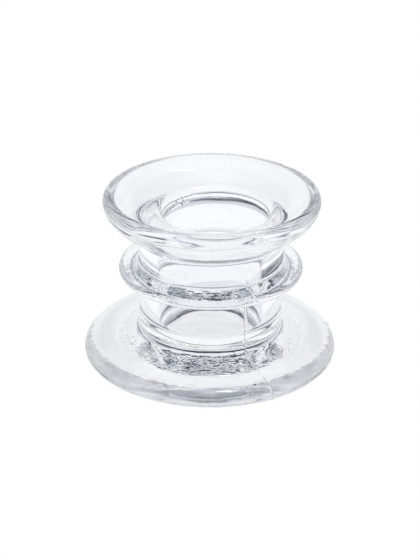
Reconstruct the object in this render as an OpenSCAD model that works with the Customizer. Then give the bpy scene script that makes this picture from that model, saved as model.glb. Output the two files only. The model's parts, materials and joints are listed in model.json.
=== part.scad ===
// Pressed-glass candle holder.
// The whole holder is one piece of clear glass, round about Z and pressed in one shot:
// a thick disc foot, a straight neck with a waist ring, and a flared drip dish with the
// candle socket at its centre. Millimetres, +Z up, origin on the table under the axis.

/* [Foot] */
// Diameter of the foot at its widest
foot_d = 55; // [50:0.5:60]
// Height of the foot's widest point above the table
foot_edge_z = 1.25; // [1:0.05:1.6]
// Height of the rounded edge above its widest point
foot_edge_h = 2.75; // [2.4:0.05:3]
// Diameter of the shallow hollow under the foot
hollow_d = 39.5; // [36:0.5:41]
// Depth of the hollow under the foot
hollow_depth = 0.6; // [0.4:0.1:2]

/* [Neck and ring] */
// Diameter of the straight neck
neck_d = 31; // [30.4:0.1:32]
// Height at which the foot has run out into the neck
neck_z = 7.6; // [7:0.1:8.4]
// Diameter of the waist ring
ring_d = 39.7; // [38:0.1:41]
// Height of the waist ring's widest point
ring_z = 19.9; // [19.4:0.1:20.4]
// Half thickness of the waist ring at its round edge
ring_half_t = 1.2; // [1:0.05:1.5]

/* [Dish] */
// Outside diameter of the drip dish at its rim
rim_d = 46.3; // [44:0.1:49]
// Height of the rim's widest point
rim_z = 35.5; // [35.1:0.1:36.5]
// Width of the rounded rim
rim_w = 2.8; // [2.4:0.1:3.2]
// Height of the rounded rim above its widest point
rim_h = 1.7; // [1.4:0.1:2]
// Height of the socket's mouth in the middle of the dish
mouth_z = 33.4; // [33:0.1:33.8]

/* [Candle socket] */
// Diameter of the socket that holds the candle
socket_d = 22.7; // [22:0.1:23.5]
// Height of the socket's floor
socket_floor_z = 6; // [5:0.1:12]
// Width of the rounded lip at the socket's mouth
mouth_w = 2.2; // [0.6:0.1:2.6]
// Height of the rounded lip at the socket's mouth
mouth_h = 1.4; // [0.6:0.1:2.6]
// Radius between the socket's wall and its floor
floor_r = 4.3; // [1:0.1:6]

/* [Smoothness] */
// Facets around the axis when previewing
turn_fn = 180; // [60:12:360]
// Straight steps in each rounded stretch of the outline
arc_steps = 8; // [4:1:14]

/* [Hidden] */

foot_r = foot_d / 2;
neck_r = neck_d / 2;
ring_r = ring_d / 2;
rim_r = rim_d / 2;
socket_r = socket_d / 2;
hollow_r = hollow_d / 2;

// radii of the foot's bottom corner and of its rounded edge
foot_corner_r = 2.75;
foot_edge_r = 3.3;
// half axes of the round lip and of the soft corner at the hollow's edge
hollow_lip = [0.9, 0.4 * hollow_depth];
hollow_corner = [3, 0.6 * hollow_depth];
// how far round the foot, ring and rim are true arcs before the slopes take over
foot_edge_turn = 75;
ring_top_turn = 74;
rim_inside_turn = 150;
// half widths of the round parts of the ring's edge
ring_nose = 1.3;
ring_back = 2.0;

glass_tint = [0.86, 0.89, 0.92, 0.45];

// point on an ellipse about c with half axes r = [along x, along z]
function on_arc(c, r, a) = [c.x + r.x * cos(a), c.y + r.y * sin(a)];

// rounded stretch of the outline from angle a0 to a1; it leaves out its first point,
// unless first = 0, because the stretch before it ends there
function arc(c, r, a0, a1, first = 1) =
    [for (i = [first:arc_steps]) on_arc(c, r, a0 + (a1 - a0) * i / arc_steps)];

// smooth blend from p to q that leaves p towards a and reaches q from b
function blend(p, a, b, q) =
    [for (i = [1:arc_steps]) let (t = i / arc_steps, s = 1 - t)
        s * s * s * p + 3 * s * s * t * a + 3 * s * t * t * b + t * t * t * q];

// foot: round edge, nearly level top, a low cone, then a small fillet up into the neck
foot_slope_start = on_arc([foot_r - foot_edge_r, foot_edge_z], [foot_edge_r, foot_edge_h], foot_edge_turn);
foot_slope_mid = [foot_r - 6, foot_edge_z + foot_edge_h + 0.4];
foot_slope_end = [neck_r + 1.5, foot_edge_z + foot_edge_h + 1.7];
foot_outline = concat(
    arc([foot_r - foot_corner_r, foot_edge_z], [foot_corner_r, foot_edge_z], -90, 0, first = 0),
    arc([foot_r - foot_edge_r, foot_edge_z], [foot_edge_r, foot_edge_h], 0, foot_edge_turn),
    blend(foot_slope_start, foot_slope_start + [-1.2, 0.25], foot_slope_mid + [1.1, -0.2], foot_slope_mid),
    blend(foot_slope_mid, foot_slope_mid + [-1.6, 0.3], foot_slope_end + [1.5, -0.42], foot_slope_end),
    blend(foot_slope_end, foot_slope_end + [-0.9, 0.25], [neck_r, neck_z - 1], [neck_r, neck_z])
);

// waist ring: flat underside, thin round nose, and a straight upper face that rises to the neck
ring_root_low = [neck_r, ring_z - 2.8];
ring_nose_low = [ring_r - ring_back, ring_z - ring_half_t];
ring_nose_top = on_arc([ring_r - ring_nose, ring_z], [ring_nose, ring_half_t - 0.1], ring_top_turn);
ring_face_end = [neck_r + 0.6, ring_z + 1.95];
ring_root_top = [neck_r + 0.2, ring_z + 2.7];
ring_outline = concat(
    [ring_root_low],
    blend(ring_root_low, ring_root_low + [0, 0.9], ring_nose_low + [-1.6, -0.1], ring_nose_low),
    arc([ring_r - ring_back, ring_z], [ring_back, ring_half_t], -90, 0),
    arc([ring_r - ring_nose, ring_z], [ring_nose, ring_half_t - 0.1], 0, ring_top_turn),
    blend(ring_nose_top, ring_nose_top + [-0.6, 0.17], ring_face_end + [0.9, -0.28], ring_face_end),
    blend(ring_face_end, ring_face_end + [-0.3, 0.1], ring_root_top + [0, -0.4], ring_root_top)
);

// dish: leaves the upper neck, flares out under the bowl and turns up into the rim
dish_root = [neck_r + 0.3, mouth_z - 5.7];
dish_flare = [rim_r - 3.9, mouth_z - 3.1];
dish_outline = concat(
    blend(ring_root_top, ring_root_top + [-0.1, 1.6], dish_root + [-0.3, -1.2], dish_root),
    blend(dish_root, dish_root + [0.7, 1.1], dish_flare + [-1.1, -0.7], dish_flare),
    blend(dish_flare, dish_flare + [2.2, 1.2], [rim_r, rim_z - 1.9], [rim_r, rim_z])
);

// rim and bowl: over the top of the rim, down the inside and over the socket's lip
rim_centre = [rim_r - rim_w / 2, rim_z];
bowl_top = on_arc(rim_centre, [rim_w / 2, rim_h], rim_inside_turn);
lip_top = [socket_r + mouth_w, mouth_z];
bowl_outline = concat(
    arc(rim_centre, [rim_w / 2, rim_h], 0, rim_inside_turn),
    blend(bowl_top, bowl_top + [-1.6, -1.9], lip_top + [2.2, 0.5], lip_top),
    arc(lip_top - [0, mouth_h], [mouth_w, mouth_h], 90, 180)
);

// socket: straight wall, wide rounded corner and a small flat floor on the axis
socket_outline = concat(
    arc([socket_r - floor_r, socket_floor_z + floor_r], [floor_r, floor_r], 0, -90, first = 0),
    [[0, socket_floor_z]]
);

// hollow under the foot, from the axis out to the ring that the holder stands on
hollow_outline = concat(
    [[0, hollow_depth]],
    arc([hollow_r, hollow_depth] - hollow_corner, hollow_corner, 90, 0, first = 0),
    arc([hollow_r, 0] + hollow_lip, hollow_lip, 180, 270)
);

// the single piece of glass
module glass_body() {
    color(glass_tint)
        rotate_extrude($fn = turn_fn)
            polygon(concat(hollow_outline, foot_outline, ring_outline, dish_outline, bowl_outline, socket_outline));
}

glass_body();
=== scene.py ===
import json
import math

import bmesh
import bpy
from mathutils import Matrix, Vector, noise


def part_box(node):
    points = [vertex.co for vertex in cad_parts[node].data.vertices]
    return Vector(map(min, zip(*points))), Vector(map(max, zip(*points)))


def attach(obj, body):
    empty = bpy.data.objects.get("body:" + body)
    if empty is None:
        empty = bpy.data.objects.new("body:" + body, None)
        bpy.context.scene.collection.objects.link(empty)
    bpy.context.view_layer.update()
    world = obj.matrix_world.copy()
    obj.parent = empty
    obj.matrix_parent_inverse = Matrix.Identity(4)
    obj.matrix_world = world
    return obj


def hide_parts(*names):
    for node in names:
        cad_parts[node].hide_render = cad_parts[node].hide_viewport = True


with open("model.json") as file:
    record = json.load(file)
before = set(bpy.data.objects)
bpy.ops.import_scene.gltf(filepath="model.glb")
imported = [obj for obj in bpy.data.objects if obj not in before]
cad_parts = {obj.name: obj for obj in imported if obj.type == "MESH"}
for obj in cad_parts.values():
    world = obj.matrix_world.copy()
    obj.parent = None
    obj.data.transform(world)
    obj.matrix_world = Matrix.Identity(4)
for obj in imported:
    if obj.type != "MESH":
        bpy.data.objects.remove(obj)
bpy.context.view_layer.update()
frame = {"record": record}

MM = 0.001

# --- driving sizes, read from the frame --------------------------------------------------

low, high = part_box("glass_body")
FOOT_R = (high.x - low.x) / 2
TOP_Z = high.z
MOUNTS = {m["name"]: m for m in frame["record"]["mounts"]}
SOCKET_R = MOUNTS["candle_socket"]["dims"]["r_mm"] * MM

# --- sizes of the rest of the outline, as in the CAD part --------------------------------

# hollow under the foot, and the half axes of its soft corner and of the lip round it
HOLLOW_R = 19.75 * MM
HOLLOW_DEPTH = 0.6 * MM
HOLLOW_CORNER = (3 * MM, 0.6 * HOLLOW_DEPTH)
HOLLOW_LIP = (0.9 * MM, 0.4 * HOLLOW_DEPTH)
# the foot's bottom corner and rounded edge; turns are in degrees
FOOT_CORNER_R = 2.75 * MM
FOOT_EDGE_R = 3.3 * MM
FOOT_EDGE_Z = 1.25 * MM
FOOT_EDGE_H = 2.75 * MM
FOOT_EDGE_TURN = 75
NECK_R = 15.5 * MM
NECK_Z = 7.6 * MM
# waist ring, and the half widths of the round parts of its edge
RING_R = 19.85 * MM
RING_Z = 19.9 * MM
RING_HALF_T = 1.2 * MM
RING_TOP_H = RING_HALF_T - 0.1 * MM
RING_NOSE = 1.3 * MM
RING_BACK = 2.0 * MM
RING_TOP_TURN = 74
# rim of the dish
RIM_R = 23.15 * MM
RIM_W = 2.8 * MM
RIM_H = 1.7 * MM
RIM_Z = TOP_Z - RIM_H
RIM_INSIDE_TURN = 150
# socket and the lip at its mouth
MOUTH_Z = 33.4 * MM
MOUTH_LIP_R = 2.2 * MM
MOUTH_LIP_H = 1.4 * MM
SOCKET_FLOOR_Z = 6.0 * MM
SOCKET_CORNER_R = 4.3 * MM

# the pressing isn't quite true: the holder leans, and the plunger sat a little to the right,
# by SOCKET_SHIFT at the mouth and less down to the height SHIFT_LOW_Z
LEAN = 0.009
SOCKET_SHIFT = 0.9 * MM
SHIFT_LOW_Z = 20 * MM
SHIFT_HIGH_Z = 33 * MM

# --- fineness of the mesh ----------------------------------------------------------------

# points on each rounded stretch of the outline, before they are spaced evenly
CURVE_STEPS = 24
# longest step along the outline, for plain and for wrinkled stretches
COARSE = 0.5 * MM
MIDDLE = 0.3 * MM
FINE = 0.12 * MM
# columns around the axis, and the closer ones over each seam, in degrees from it, which
# replace the columns within SEAM_CLEARANCE
COLUMNS = 480
SEAM_STEPS = (-0.9, -0.6, -0.4, -0.25, -0.12, 0, 0.12, 0.25, 0.4, 0.6, 0.9)
SEAM_CLEARANCE = math.radians(1.2)

# the two halves of the mould meet front right and back left
SEAM_ANGLES = (math.radians(-61.5), math.radians(118.5))


# --- outline -----------------------------------------------------------------------------

def on_arc(centre, radii, degrees):
    """Point on an ellipse about centre, as (radius from the axis, height)."""
    turn = math.radians(degrees)
    return Vector((centre[0] + radii[0] * math.cos(turn), centre[1] + radii[1] * math.sin(turn)))


def arc(centre, radii, start, end):
    """Rounded stretch of the outline between two angles in degrees, without its first point."""
    turns = [start + (end - start) * i / CURVE_STEPS for i in range(1, CURVE_STEPS + 1)]
    return [on_arc(centre, radii, turn) for turn in turns]


def blend(p, a, b, q):
    """Smooth stretch from p to q that leaves p towards a and reaches q from b, without p."""
    points = []
    for i in range(1, CURVE_STEPS + 1):
        t = i / CURVE_STEPS
        s = 1 - t
        points.append(s ** 3 * p + 3 * s * s * t * a + 3 * s * t * t * b + t ** 3 * q)
    return points


def mm(x, z):
    """Offset along the outline's two axes, given in millimetres."""
    return Vector((x * MM, z * MM))


def glass_outline():
    """Half section of the glass, from the hollow's centre round the outside to the socket's floor.

    Returns the outline as stretches: a name, the points, and the longest step between them.
    The offsets given to mm() place the ends and handles of the blends, as in the CAD part.
    """
    hollow_centre = (HOLLOW_R - HOLLOW_CORNER[0], HOLLOW_DEPTH - HOLLOW_CORNER[1])
    base = [Vector((0, HOLLOW_DEPTH)), Vector((HOLLOW_R - HOLLOW_CORNER[0], HOLLOW_DEPTH))]
    base += arc(hollow_centre, HOLLOW_CORNER, 90, 0)
    base += arc((HOLLOW_R + HOLLOW_LIP[0], HOLLOW_LIP[1]), HOLLOW_LIP, 180, 270)
    base += [Vector((FOOT_R - FOOT_CORNER_R, 0))]

    edge = [base[-1]]
    edge += arc((FOOT_R - FOOT_CORNER_R, FOOT_EDGE_Z), (FOOT_CORNER_R, FOOT_EDGE_Z), -90, 0)
    edge += arc((FOOT_R - FOOT_EDGE_R, FOOT_EDGE_Z), (FOOT_EDGE_R, FOOT_EDGE_H), 0, FOOT_EDGE_TURN)

    slope_start = edge[-1]
    slope_mid = Vector((FOOT_R, FOOT_EDGE_Z + FOOT_EDGE_H)) + mm(-6.0, 0.4)
    slope_end = Vector((NECK_R, FOOT_EDGE_Z + FOOT_EDGE_H)) + mm(1.5, 1.7)
    neck_low = Vector((NECK_R, NECK_Z))
    slope = [slope_start]
    slope += blend(slope_start, slope_start + mm(-1.2, 0.25), slope_mid + mm(1.1, -0.2), slope_mid)
    slope += blend(slope_mid, slope_mid + mm(-1.6, 0.3), slope_end + mm(1.5, -0.42), slope_end)
    slope += blend(slope_end, slope_end + mm(-0.9, 0.25), neck_low + mm(0, -1.0), neck_low)

    root_low = Vector((NECK_R, RING_Z)) + mm(0, -2.8)
    nose_low = Vector((RING_R - RING_BACK, RING_Z - RING_HALF_T))
    neck = [neck_low, root_low]
    neck += blend(root_low, root_low + mm(0, 0.9), nose_low + mm(-1.6, -0.1), nose_low)
    neck += arc((RING_R - RING_BACK, RING_Z), (RING_BACK, RING_HALF_T), -90, 0)

    ring = [neck[-1]]
    ring += arc((RING_R - RING_NOSE, RING_Z), (RING_NOSE, RING_TOP_H), 0, RING_TOP_TURN)
    nose_top = ring[-1]
    face_end = Vector((NECK_R, RING_Z)) + mm(0.6, 1.95)
    root_top = Vector((NECK_R, RING_Z)) + mm(0.2, 2.7)
    ring += blend(nose_top, nose_top + mm(-0.6, 0.17), face_end + mm(0.9, -0.28), face_end)
    ring += blend(face_end, face_end + mm(-0.3, 0.1), root_top + mm(0, -0.4), root_top)

    dish_root = Vector((NECK_R, MOUTH_Z)) + mm(0.3, -5.7)
    dish_flare = Vector((RIM_R, MOUTH_Z)) + mm(-3.9, -3.1)
    rim_side = Vector((RIM_R, RIM_Z))
    dish = [root_top]
    dish += blend(root_top, root_top + mm(-0.1, 1.6), dish_root + mm(-0.3, -1.2), dish_root)
    dish += blend(dish_root, dish_root + mm(0.7, 1.1), dish_flare + mm(-1.1, -0.7), dish_flare)
    dish += blend(dish_flare, dish_flare + mm(2.2, 1.2), rim_side + mm(0, -1.9), rim_side)

    bowl = [rim_side]
    bowl += arc((RIM_R - RIM_W / 2, RIM_Z), (RIM_W / 2, RIM_H), 0, RIM_INSIDE_TURN)
    bowl_top = bowl[-1]
    lip_top = Vector((SOCKET_R + MOUTH_LIP_R, MOUTH_Z))
    bowl += blend(bowl_top, bowl_top + mm(-1.6, -1.9), lip_top + mm(2.2, 0.5), lip_top)
    bowl += arc((lip_top.x, MOUTH_Z - MOUTH_LIP_H), (MOUTH_LIP_R, MOUTH_LIP_H), 90, 180)

    corner = (SOCKET_R - SOCKET_CORNER_R, SOCKET_FLOOR_Z + SOCKET_CORNER_R)
    socket = [bowl[-1], Vector((SOCKET_R, corner[1]))]
    socket += arc(corner, (SOCKET_CORNER_R, SOCKET_CORNER_R), 0, -90)
    socket += [Vector((0, SOCKET_FLOOR_Z))]
    return (
        ("base", base, COARSE), ("edge", edge, MIDDLE), ("slope", slope, FINE),
        ("neck", neck, MIDDLE), ("ring", ring, FINE), ("dish", dish, COARSE),
        ("bowl", bowl, COARSE), ("socket", socket, COARSE),
    )


def even_steps(points, step):
    """Points spaced evenly along the line through the given ones, no further apart than step."""
    lengths = [(b - a).length for a, b in zip(points, points[1:])]
    total = sum(lengths)
    parts = max(1, math.ceil(total / step))
    spaced = [points[0]]
    i = 0
    passed = 0.0
    for n in range(1, parts):
        goal = total * n / parts
        while passed + lengths[i] < goal:
            passed += lengths[i]
            i += 1
        spaced.append(points[i].lerp(points[i + 1], (goal - passed) / lengths[i]))
    return spaced + [points[-1]]


def outline_rows():
    """Rows of the lathed mesh: radius, height, the stretch's name and the way along the outline."""
    rows = []
    way = 0.0
    for stretch, points, step in glass_outline():
        spaced = even_steps(points, step)
        if not rows:
            rows.append((spaced[0].x, spaced[0].y, stretch, way))
        for a, b in zip(spaced, spaced[1:]):
            way += (b - a).length
            rows.append((b.x, b.y, stretch, way))
    return rows


# --- marks left by pressing --------------------------------------------------------------
# Each mark's function returns its relief in millimetres. It takes the place, here, and the
# radius, height and way along the outline in millimetres too, and angles in radians. Names
# ending in _H are reliefs, names ending in _PER_MM are noise frequencies per millimetre, and
# names ending in _FAR are angles from a mark's middle: full strength before the first, and
# none after the second.

FRONT = math.radians(-90)

UNEVEN_H = 0.020
UNEVEN_PER_MM = 0.16
RIPPLE_H = 0.008
RIPPLE_PER_MM = 0.45

FOLD_RADII = (15.5, 16.0, 20.2, 21.8)
FOLD_FAR = (0.45, 0.9)
FOLD_SIDE_SHARE = 0.9
FOLD_SIDE_RADII = (16.4, 18.4)
FOLD_H = 0.050
FOLDS_AROUND = 5
FOLDS_PER_MM = 2.4
FOLD_DRIFT = 0.9
FOLD_DRIFT_PER_MM = 0.55
FOLD_LUMP_H = 0.030
FOLD_LUMPS_PER_MM = 1.1

CRAZED_FROM_Z = 18
CRAZED_RADII = (15.8, 16.2)
CRAZED_HEIGHTS = (18.8, 20.0)
CRAZED_MIDDLE = math.radians(-108)
CRAZED_FAR = (0.40, 0.75)
CRAZED_SHARE = 0.34
CRAZED_EXTRA_SHARE = 0.16
CRACK_H = 0.045
CRACKS_PER_MM = 1.9
BUCKLE_H = 0.090
BUCKLES_PER_MM = 0.7

STREAK_H = 0.035
STREAKS_AROUND = 28
STREAKS_PER_MM_UP = 0.4
STREAK_LUMP_H = 0.015
STREAK_LUMPS_PER_MM = 1.3

PITTED_WITHIN_R = 16
PIT_MIDDLE = math.radians(130)
PIT_FAR = (0.16, 0.34)
PIT_H = 0.12
PITS_PER_MM = 1.7
PIT_LEVEL = 0.1

SEAMED = ("edge", "slope", "neck", "ring", "dish")
SEAM_HALF_W = 0.18
SEAM_H = 0.11
BEAD_H = 0.05
BEADS_PER_MM = 1.2
SEAM_SHARE_ON_DISH = 0.3


def ramp(x, start, end):
    """0 before start, 1 after end, smooth in between. start may be above end."""
    t = min(1.0, max(0.0, (x - start) / (end - start)))
    return t * t * (3 - 2 * t)


def angle_gap(a, b):
    """Distance between two angles, in radians."""
    return abs((a - b + math.pi) % (2 * math.pi) - math.pi)


def near(angle, middle, far):
    """1 close to the angle in the middle, and 0 far from it."""
    return 1 - ramp(angle_gap(angle, middle), *far)


def crease(value):
    """Sharp fold where value passes zero, falling off to both sides."""
    return 1 - 2 * abs(value)


def unevenness(here):
    """Slight waviness of the whole surface."""
    waves = UNEVEN_H * noise.noise(here * UNEVEN_PER_MM)
    return waves + RIPPLE_H * noise.noise(here * RIPPLE_PER_MM + Vector((7, 3, 1)))


def chill_wrinkles(here, out, r, angle, way):
    """Wavy folds that run round the fillet between foot and neck, strongest in front."""
    zone = ramp(r, *FOLD_RADII[:2]) * (1 - ramp(r, *FOLD_RADII[2:]))
    front = near(angle, FRONT, FOLD_FAR)
    zone *= front + (1 - front) * FOLD_SIDE_SHARE * ramp(r, *FOLD_SIDE_RADII)
    drift = FOLD_DRIFT * noise.noise(here * FOLD_DRIFT_PER_MM)
    folds = Vector((out.x * FOLDS_AROUND, out.y * FOLDS_AROUND, FOLDS_PER_MM * (way + drift)))
    lumps = noise.noise(here * FOLD_LUMPS_PER_MM + Vector((0, 0, 30)))
    return zone * FOLD_H * crease(noise.noise(folds)) + zone * FOLD_LUMP_H * lumps


def crazing(here, r, z, angle):
    """Crazed skin on the ring's upper face and round its nose, strongest at the front left."""
    zone = ramp(r, *CRAZED_RADII) * ramp(z, *CRAZED_HEIGHTS)
    zone *= CRAZED_SHARE + CRAZED_EXTRA_SHARE * near(angle, CRAZED_MIDDLE, CRAZED_FAR)
    cracks = crease(noise.noise(here * CRACKS_PER_MM))
    buckles = noise.noise(here * BUCKLES_PER_MM + Vector((0, 9, 0)))
    return zone * CRACK_H * cracks + zone * BUCKLE_H * buckles


def edge_streaks(here, out, z):
    """Fine upright streaks where the foot's edge touched the mould."""
    place = Vector((out.x * STREAKS_AROUND, out.y * STREAKS_AROUND, z * STREAKS_PER_MM_UP))
    lumps = noise.noise(here * STREAK_LUMPS_PER_MM + Vector((5, 0, 0)))
    return STREAK_H * noise.noise(place) + STREAK_LUMP_H * lumps


def pits(here, angle):
    """Small pits by the socket's mouth, at the back left."""
    depth = PIT_H * max(0, noise.noise(here * PITS_PER_MM) - PIT_LEVEL)
    return -depth * near(angle, PIT_MIDDLE, PIT_FAR)


def seam_fin(here, r, angle, stretch):
    """Thin beaded fin where the mould's halves met, worn lower on the dish."""
    gap = min(angle_gap(angle, seam) for seam in SEAM_ANGLES)
    fin = SEAM_H + BEAD_H * noise.noise(here * BEADS_PER_MM)
    if stretch == "dish":
        fin *= SEAM_SHARE_ON_DISH
    return fin * math.exp(-(gap * r / SEAM_HALF_W) ** 2)


def press_marks(r, z, angle, stretch, way):
    """How far the real surface stands proud of the outline there, in metres."""
    out = Vector((math.cos(angle), math.sin(angle), 0))
    here = (out * r + Vector((0, 0, z))) / MM
    r = r / MM
    z = z / MM
    relief = unevenness(here)
    if stretch == "slope":
        relief += chill_wrinkles(here, out, r, angle, way / MM)
    if stretch == "ring" or (stretch == "neck" and z > CRAZED_FROM_Z):
        relief += crazing(here, r, z, angle)
    if stretch == "edge":
        relief += edge_streaks(here, out, z)
    if stretch == "bowl" and r < PITTED_WITHIN_R:
        relief += pits(here, angle)
    if stretch in SEAMED:
        relief += seam_fin(here, r, angle, stretch)
    return relief * MM


# --- mesh --------------------------------------------------------------------------------

# below this height the marks may only hollow the glass, so that the foot stands flat
FLAT_BELOW_Z = 0.3 * MM


def column_angles():
    """Angles of the mesh's columns: even, with closer ones over the seams."""
    angles = [2 * math.pi * k / COLUMNS for k in range(COLUMNS)]
    for seam in SEAM_ANGLES:
        angles = [a for a in angles if angle_gap(a, seam) > SEAM_CLEARANCE]
        angles += [(seam + math.radians(step)) % (2 * math.pi) for step in SEAM_STEPS]
    return sorted(angles)


def off_centre(r, z, stretch):
    """How far to the right of the axis the glass stands there, in metres."""
    shift = LEAN * z
    if stretch == "socket":
        shift += SOCKET_SHIFT * ramp(z, SHIFT_LOW_Z, SHIFT_HIGH_Z)
    if stretch == "bowl":
        shift += SOCKET_SHIFT * (1 - ramp(r, SOCKET_R + MOUTH_LIP_R, RIM_R - RIM_W))
    return shift


def marked_point(row, angle, along):
    """The row's vertex in that column. along is the outline's direction at the row."""
    r, z, stretch, way = row
    lift = press_marks(r, z, angle, stretch, way)
    if z < FLAT_BELOW_Z and stretch in ("base", "edge"):
        lift = min(lift, 0)
    real_r = r + along.y * lift
    real_z = max(0, z - along.x * lift)
    return real_r * math.cos(angle) + off_centre(r, z, stretch), real_r * math.sin(angle), real_z


def lathe(name, rows):
    """Closed mesh of revolution about Z, with the press marks as real relief."""
    angles = column_angles()
    vertices = [(0, 0, rows[0][1])]
    rings = [[0]]
    for before, row, after in zip(rows, rows[1:], rows[2:]):
        along = Vector(after[:2]) - Vector(before[:2])
        along.normalize()
        rings.append([len(vertices) + k for k in range(len(angles))])
        vertices += [marked_point(row, angle, along) for angle in angles]
    rings.append([len(vertices)])
    vertices.append((0, 0, rows[-1][1]))
    faces = []
    for a, b in zip(rings, rings[1:]):
        for k in range(len(angles)):
            n = (k + 1) % len(angles)
            if len(a) == 1:
                faces.append((a[0], b[n], b[k]))
            elif len(b) == 1:
                faces.append((a[k], a[n], b[0]))
            else:
                faces.append((a[k], a[n], b[n], b[k]))
    mesh = bpy.data.meshes.new(name)
    mesh.from_pydata(vertices, [], faces)
    piece = bpy.data.objects.new(name, mesh)
    bpy.context.collection.objects.link(piece)
    work = bmesh.new()
    work.from_mesh(mesh)
    bmesh.ops.recalc_face_normals(work, faces=work.faces)
    work.to_mesh(mesh)
    work.free()
    mesh.polygons.foreach_set("use_smooth", [True] * len(mesh.polygons))
    return piece


# --- node helpers ------------------------------------------------------------------------

def feed(tree, socket, value):
    """Link value into the socket if it is another node's output, or else set it there."""
    if isinstance(value, bpy.types.NodeSocket):
        tree.links.new(value, socket)
    else:
        socket.default_value = value


def compute(tree, operation, *values):
    """Result of a Math node."""
    node = tree.nodes.new("ShaderNodeMath")
    node.operation = operation
    for socket, value in zip(node.inputs, values):
        feed(tree, socket, value)
    return node.outputs["Value"]


def compute_vector(tree, operation, *values):
    """Result of a Vector Math node: a number for LENGTH, and a vector for the others."""
    node = tree.nodes.new("ShaderNodeVectorMath")
    node.operation = operation
    for socket, value in zip(node.inputs, values):
        feed(tree, socket, value)
    return node.outputs["Value" if operation == "LENGTH" else "Vector"]


def remap(tree, value, start, end, first=0.0, last=1.0, curve="SMOOTHSTEP"):
    """Goes from first to last while value goes from start to end, and stays there outside."""
    node = tree.nodes.new("ShaderNodeMapRange")
    node.interpolation_type = curve
    feed(tree, node.inputs["Value"], value)
    node.inputs["From Min"].default_value = start
    node.inputs["From Max"].default_value = end
    node.inputs["To Min"].default_value = first
    node.inputs["To Max"].default_value = last
    return node.outputs["Result"]


def split(tree, vector):
    """Node with a vector's X, Y and Z as its outputs."""
    node = tree.nodes.new("ShaderNodeSeparateXYZ")
    feed(tree, node.inputs["Vector"], vector)
    return node.outputs


def grains(tree, place, scale, detail):
    """Noise over a place given in metres, with features of about 1 / scale metres."""
    node = tree.nodes.new("ShaderNodeTexNoise")
    node.inputs["Scale"].default_value = scale
    node.inputs["Detail"].default_value = detail
    feed(tree, node.inputs["Vector"], place)
    return node.outputs["Fac"]


def bump(tree, height, distance, strength):
    """Bump node for a pattern that stands distance metres high."""
    node = tree.nodes.new("ShaderNodeBump")
    feed(tree, node.inputs["Strength"], strength)
    node.inputs["Distance"].default_value = distance
    feed(tree, node.inputs["Height"], height)
    return node


# --- glass -------------------------------------------------------------------------------

GLASS_TINT = (0.954, 0.957, 0.970, 1)
GLASS_IOR = 1.51
# the skin is dull on the foot's edge, from the first radius to the second, and less so on
# the rim, which only counts above UPPER_Z
DULL_EDGE_RADII = (FOOT_R - 3.5 * MM, FOOT_R - 0.8 * MM)
DULL_RIM_RADII = (RIM_R - 3.0 * MM, RIM_R - 0.6 * MM)
DULL_RIM_SHARE = 0.45
UPPER_Z = 25 * MM
DULL_ROUGHNESS = 0.19
# uneven polish all over: the glass is rougher where the pattern is above the first level
POLISH_SCALE = 160
POLISH_DETAIL = 4
POLISH_LEVELS = (0.45, 0.75)
POLISH_ROUGHNESS = 0.05
RIPPLES_SCALE = 700
RIPPLES_DETAIL = 3
RIPPLES_HEIGHT = 0.010 * MM
# upright grain in the foot's edge, drawn out along Z
GRAIN_SCALE = 2600
GRAIN_DETAIL = 2
GRAIN_HEIGHT = 0.030 * MM
GRAIN_STRETCH = (1, 1, 0.15)


def glass_material():
    """Clear glass with a faint cool cast, fine ripples and slightly uneven polish."""
    material = bpy.data.materials.new("clear_pressed_glass")
    material.use_nodes = True
    tree = material.node_tree
    shader = tree.nodes["Principled BSDF"]
    shader.inputs["Base Color"].default_value = GLASS_TINT
    shader.inputs["Transmission Weight"].default_value = 1
    shader.inputs["IOR"].default_value = GLASS_IOR
    place = tree.nodes.new("ShaderNodeTexCoord").outputs["Object"]

    radius = compute_vector(tree, "LENGTH", compute_vector(tree, "MULTIPLY", place, (1, 1, 0)))
    on_edge = remap(tree, radius, *DULL_EDGE_RADII)
    on_rim = remap(tree, radius, *DULL_RIM_RADII, last=DULL_RIM_SHARE)
    upper = compute(tree, "GREATER_THAN", split(tree, place)["Z"], UPPER_Z)
    dull = compute(tree, "MAXIMUM", on_edge, compute(tree, "MULTIPLY", on_rim, upper))
    patches = grains(tree, place, POLISH_SCALE, POLISH_DETAIL)
    polish = remap(tree, patches, *POLISH_LEVELS, last=POLISH_ROUGHNESS, curve="LINEAR")
    roughness = compute(tree, "MULTIPLY_ADD", dull, DULL_ROUGHNESS, polish)
    feed(tree, shader.inputs["Roughness"], roughness)

    ripples = bump(tree, grains(tree, place, RIPPLES_SCALE, RIPPLES_DETAIL), RIPPLES_HEIGHT, 1.0)
    drawn_out = compute_vector(tree, "MULTIPLY", place, GRAIN_STRETCH)
    grain = bump(tree, grains(tree, drawn_out, GRAIN_SCALE, GRAIN_DETAIL), GRAIN_HEIGHT, on_edge)
    feed(tree, grain.inputs["Normal"], ripples.outputs["Normal"])
    feed(tree, shader.inputs["Normal"], grain.outputs["Normal"])
    return material


glass = lathe("pressed_glass", outline_rows())
glass.data.materials.append(glass_material())
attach(glass, "root")
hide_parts("glass_body")

# --- floor -------------------------------------------------------------------------------

FLOOR_HALF = 3.0
FLOOR_GAP = 0.01 * MM
FLOOR_GREY = (0.3, 0.3, 0.3, 1)
FLOOR_GLOW = 0.90
FLOOR_ROUGHNESS = 0.9


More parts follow.
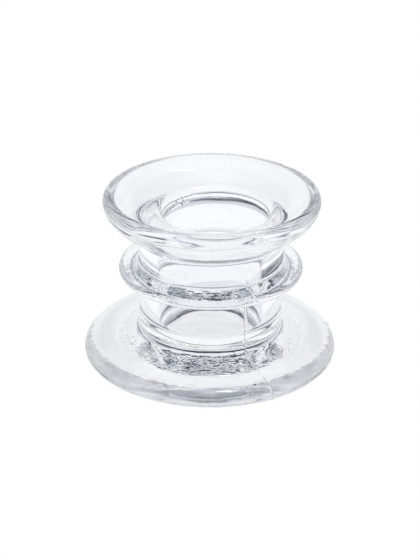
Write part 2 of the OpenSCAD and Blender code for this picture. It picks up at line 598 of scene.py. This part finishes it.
def white_floor():
    """Plain pale floor that glows, so that it comes out white like the studio round it."""
    corners = [(x * FLOOR_HALF, y * FLOOR_HALF, 0) for x, y in ((-1, -1), (1, -1), (1, 1), (-1, 1))]
    mesh = bpy.data.meshes.new("studio_floor")
    mesh.from_pydata(corners, [], [(0, 1, 2, 3)])
    floor = bpy.data.objects.new("studio_floor", mesh)
    floor.location.z = -FLOOR_GAP
    bpy.context.collection.objects.link(floor)
    material = bpy.data.materials.new("white_sweep")
    material.use_nodes = True
    shader = material.node_tree.nodes["Principled BSDF"]
    shader.inputs["Base Color"].default_value = FLOOR_GREY
    shader.inputs["Roughness"].default_value = FLOOR_ROUGHNESS
    shader.inputs["Emission Color"].default_value = (1, 1, 1, 1)
    shader.inputs["Emission Strength"].default_value = FLOOR_GLOW
    mesh.materials.append(material)
    return floor


white_floor()

# --- studio light ------------------------------------------------------------------------

# light level by height, which is the sine of the elevation: to the sides and in front, and
# straight behind, where the darker gap between the sweep and the top light is lower
SKY_AROUND = ((0.0, 0.78), (0.34, 0.68), (0.48, 0.26), (0.56, 0.07), (0.76, 0.07), (0.9, 0.62))
SKY_BEHIND = ((0.0, 0.80), (0.15, 0.66), (0.23, 0.015), (0.62, 0.015), (0.76, 0.70), (1.0, 0.70))
# each level is tinted, and a little cool light is added to it
SKY_TINT = (0.93, 0.955, 0.98)
SKY_CAST = (0.0, 0.012, 0.04)
# the gap behind spans this much sideways, from none to full, and its edges rise outwards
GAP_SIDE = (0.36, 0.20)
GAP_RISE = 1.1
# narrow lamp overhead that leaves the small glint in the dish: place and half size, X and Y
LAMP_AT = (0.21, 0.34, 0)
LAMP_HALF = (0.10, 0.035)
LAMP_EDGE = (1.15, 0.85)
LAMP_LEVEL = 9.0


def by_height(tree, stops, height):
    """Colour of the studio at that height."""
    node = tree.nodes.new("ShaderNodeValToRGB")
    points = node.color_ramp.elements
    while len(points) < len(stops):
        points.new(0.5)
    for point, (position, level) in zip(points, stops):
        point.position = position
        point.color = [level * tint + cast for tint, cast in zip(SKY_TINT, SKY_CAST)] + [1]
    feed(tree, node.inputs["Fac"], height)
    return node.outputs["Color"]


def studio_world():
    """Soft studio all round: white sweep, a darker gap above it, and large lights overhead."""
    world = bpy.data.worlds.new("studio")
    bpy.context.scene.world = world
    world.use_nodes = True
    tree = world.node_tree
    place = tree.nodes.new("ShaderNodeTexCoord").outputs["Generated"]
    axes = split(tree, place)

    aside = compute(tree, "ABSOLUTE", axes["X"])
    around = by_height(tree, SKY_AROUND, axes["Z"])
    arched = compute(tree, "MULTIPLY_ADD", aside, -GAP_RISE, axes["Z"])
    behind = by_height(tree, SKY_BEHIND, arched)
    rear = compute(tree, "GREATER_THAN", axes["Y"], 0)
    share = compute(tree, "MULTIPLY", remap(tree, aside, *GAP_SIDE), rear)
    mix = tree.nodes.new("ShaderNodeMix")
    mix.data_type = "RGBA"
    feed(tree, mix.inputs["Factor"], share)
    # the node's sockets 6, 7 and 2 are its two colours and its resulting colour
    feed(tree, mix.inputs[6], around)
    feed(tree, mix.inputs[7], behind)

    lamp_scale = (1 / LAMP_HALF[0], 1 / LAMP_HALF[1], 0)
    from_lamp = compute_vector(tree, "SUBTRACT", place, LAMP_AT)
    reach = compute_vector(tree, "LENGTH", compute_vector(tree, "MULTIPLY", from_lamp, lamp_scale))
    overhead = compute(tree, "GREATER_THAN", axes["Z"], 0)
    lamp = remap(tree, reach, *LAMP_EDGE, last=LAMP_LEVEL)
    lamp = compute(tree, "MULTIPLY", lamp, overhead)
    total = compute_vector(tree, "ADD", mix.outputs[2], lamp)
    feed(tree, tree.nodes["Background"].inputs["Color"], total)


studio_world()

# --- camera ------------------------------------------------------------------------------

VIEW_PITCH = math.radians(26.383)
VIEW_TILT = math.radians(0.107)
VIEW_ROLL = math.radians(0.293)
TARGET = Vector((0, 0, 0.62 * FOOT_R))
DISTANCE = 12 * FOOT_R
SENSOR_WIDTH = 36
FOCAL_LENGTH = 97.9
CLIP_START = 0.01


def photo_camera():
    """Camera that looks from in front, at the pitch given above, at the middle of the glass."""
    data = bpy.data.cameras.new("photo_camera")
    data.sensor_width = SENSOR_WIDTH
    data.lens = FOCAL_LENGTH
    data.clip_start = CLIP_START
    camera = bpy.data.objects.new("photo_camera", data)
    bpy.context.collection.objects.link(camera)
    look = Vector((0, math.cos(VIEW_PITCH), -math.sin(VIEW_PITCH)))
    tilt = Matrix.Rotation(math.radians(90) - VIEW_PITCH - VIEW_TILT, 4, "X")
    roll = Matrix.Rotation(VIEW_ROLL, 4, "Z")
    camera.matrix_world = Matrix.Translation(TARGET - look * DISTANCE) @ tilt @ roll
    return camera


scene = bpy.context.scene
scene.camera = photo_camera()
scene.view_settings.view_transform = "Standard"

# light passes many faces of thick glass before it leaves
TRANSMISSION_BOUNCES = 24
GLOSSY_BOUNCES = 16
scene.cycles.max_bounces = TRANSMISSION_BOUNCES
scene.cycles.transmission_bounces = TRANSMISSION_BOUNCES
scene.cycles.glossy_bounces = GLOSSY_BOUNCES
